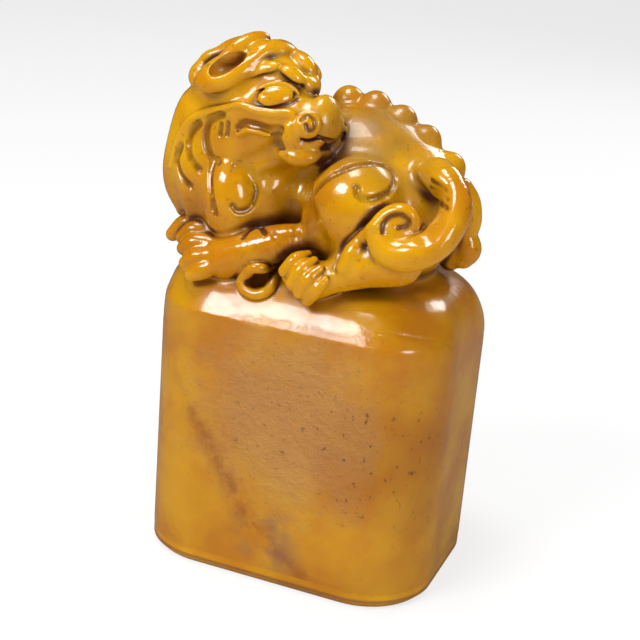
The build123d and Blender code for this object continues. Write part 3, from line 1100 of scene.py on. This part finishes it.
faceLook = {  # heights over the foot between which the printing face's ground is cut
    "cutLimits": (0.0003, 0.0009), "rimLimits": (0.0009, 0.0012),
    "cut": {"share": 0.6, "tone": "crease"},
    "roughness": 0.15, "cutRoughness": 0.4,
    "wear": (900, 3), "bumpHeight": 0.00005, "bumpStrength": 0.5,
}


def faceStone():
    look = faceLook
    finish = Finish("faceStone", amber["shader"])
    height = Flow(finish, finish.make("ShaderNodeSeparateXYZ", {}, {0: finish.place}).outputs["Z"])
    cut = height.between(*look["cutLimits"]) * (1 - height.between(*look["rimLimits"]))
    tone = finish.shadeAndStain(stoneColour(finish)[0], cut, look["cut"])
    roughness = look["roughness"] + cut * look["cutRoughness"]
    return finish.surface(tone, roughness, finish.noise(*look["wear"]), look)


beastMaterial = carvedStone()
blockMaterial = blockStone()
for piece in stonePieces:
    onBlock = piece.name in ("carved_ledge", "carved_seal_block")
    piece.data.materials.append(blockMaterial if onBlock else beastMaterial)
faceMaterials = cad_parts["seal_face"].data.materials
faceMaterials.clear()
faceMaterials.append(faceStone())

# Camera and studio
camera = bpy.data.objects.new("photoCamera", bpy.data.cameras.new("photoCamera"))
bpy.context.collection.objects.link(camera)
camera.data.sensor_fit = "HORIZONTAL"
camera.data.angle = math.radians(photoView["fieldOfView"])
camera.data.clip_start = photoView["nearestShown"]
camera.matrix_world = Matrix([
    [viewRight[0], viewUp[0], viewBack[0], viewEye[0] * mm],
    [viewRight[1], viewUp[1], viewBack[1], viewEye[1] * mm],
    [viewRight[2], viewUp[2], viewBack[2], viewEye[2] * mm],
    [0, 0, 0, 1],
])
bpy.context.scene.camera = camera

studio = {
    "floorSize": 3.0,
    "floorRoughness": 0.9,
    "floorTones": (paint(238, 238, 238), paint(244, 244, 244)),
    "floorNoise": (3, 2),
    "floorGlow": 0.72,  # share of glow in the floor as the camera sees it
    "mirroredGlow": 0.85,  # and as the stone mirrors it
    "lamps": [  # name, place, aim, width, height, watts
        ("overheadSoftbox", (-0.06, -0.04, 0.40), (0, 0, 0.035), 0.16, 0.12, 0.8),
        ("frontSoftbox", (-0.17, -0.33, 0.34), (0, 0, 0.035), 0.20, 0.13, 1.35),
        ("rightFill", (0.34, -0.20, 0.17), (0, 0, 0.03), 0.10, 0.16, 0.5),
        ("rearLight", (0.10, 0.34, 0.26), (0, 0, 0.04), 0.16, 0.12, 0.5),
    ],
    "worldStrength": 0.33,
    "mirroredStrength": 0.05,  # of the world in the stone's reflections
}


def addFloor():
    half = studio["floorSize"] / 2
    corners = [(-half, -half, 0), (half, -half, 0), (half, half, 0), (-half, half, 0)]
    mesh = bpy.data.meshes.new("floor")
    mesh.from_pydata(corners, [], [(0, 1, 2, 3)])
    floor = bpy.data.objects.new("floor", mesh)
    bpy.context.collection.objects.link(floor)
    paper = Finish("floorPaper", {"Roughness": studio["floorRoughness"]})
    tone = paper.blend(paper.noise(*studio["floorNoise"]), *studio["floorTones"])
    paper.feed(paper.shader.inputs["Base Color"], tone)
    path = paper.make("ShaderNodeLightPath", {}, {})
    seen = Flow(paper, path.outputs["Is Camera Ray"])
    mirrored = Flow(paper, path.outputs["Is Glossy Ray"])
    glow = paper.make("ShaderNodeEmission", {}, {"Color": seen + mirrored * studio["mirroredStrength"]})
    share = seen * studio["floorGlow"] + mirrored * studio["mirroredGlow"]
    mix = paper.make("ShaderNodeMixShader", {}, {0: share, 1: paper.shader.outputs[0], 2: glow.outputs[0]})
    paper.links.new(mix.outputs[0], paper.nodes["Material Output"].inputs["Surface"])
    mesh.materials.append(paper.material)


def addLamp(name, place, aim, width, height, watts):
    light = bpy.data.lights.new(name, "AREA")
    light.shape = "RECTANGLE"
    light.size = width
    light.size_y = height
    light.energy = watts
    lamp = bpy.data.objects.new(name, light)
    bpy.context.collection.objects.link(lamp)
    lamp.location = place
    lamp.rotation_mode = "QUATERNION"
    lamp.rotation_quaternion = (Vector(aim) - Vector(place)).to_track_quat("-Z", "Y")


def addWorld():
    world = bpy.data.worlds.new("studioWorld")
    bpy.context.scene.world = world
    world.use_nodes = True
    nodes = world.node_tree.nodes
    links = world.node_tree.links
    path = nodes.new("ShaderNodeLightPath")
    mirrored = nodes.new("ShaderNodeMix")  # A for other rays, B for rays of the kind in Factor
    links.new(path.outputs["Is Glossy Ray"], mirrored.inputs["Factor"])
    mirrored.inputs["A"].default_value = studio["worldStrength"]
    mirrored.inputs["B"].default_value = studio["mirroredStrength"]
    seen = nodes.new("ShaderNodeMix")
    links.new(path.outputs["Is Camera Ray"], seen.inputs["Factor"])
    links.new(mirrored.outputs["Result"], seen.inputs["A"])
    seen.inputs["B"].default_value = 1.0
    links.new(seen.outputs["Result"], nodes["Background"].inputs["Strength"])
    nodes["Background"].inputs["Color"].default_value = (1, 1, 1, 1)


addFloor()
addWorld()
for lamp in studio["lamps"]:
    addLamp(*lamp)
bpy.context.scene.view_settings.view_transform = "Standard"
print("stage: studio set, at", round(time.time() - startedAt), "s")
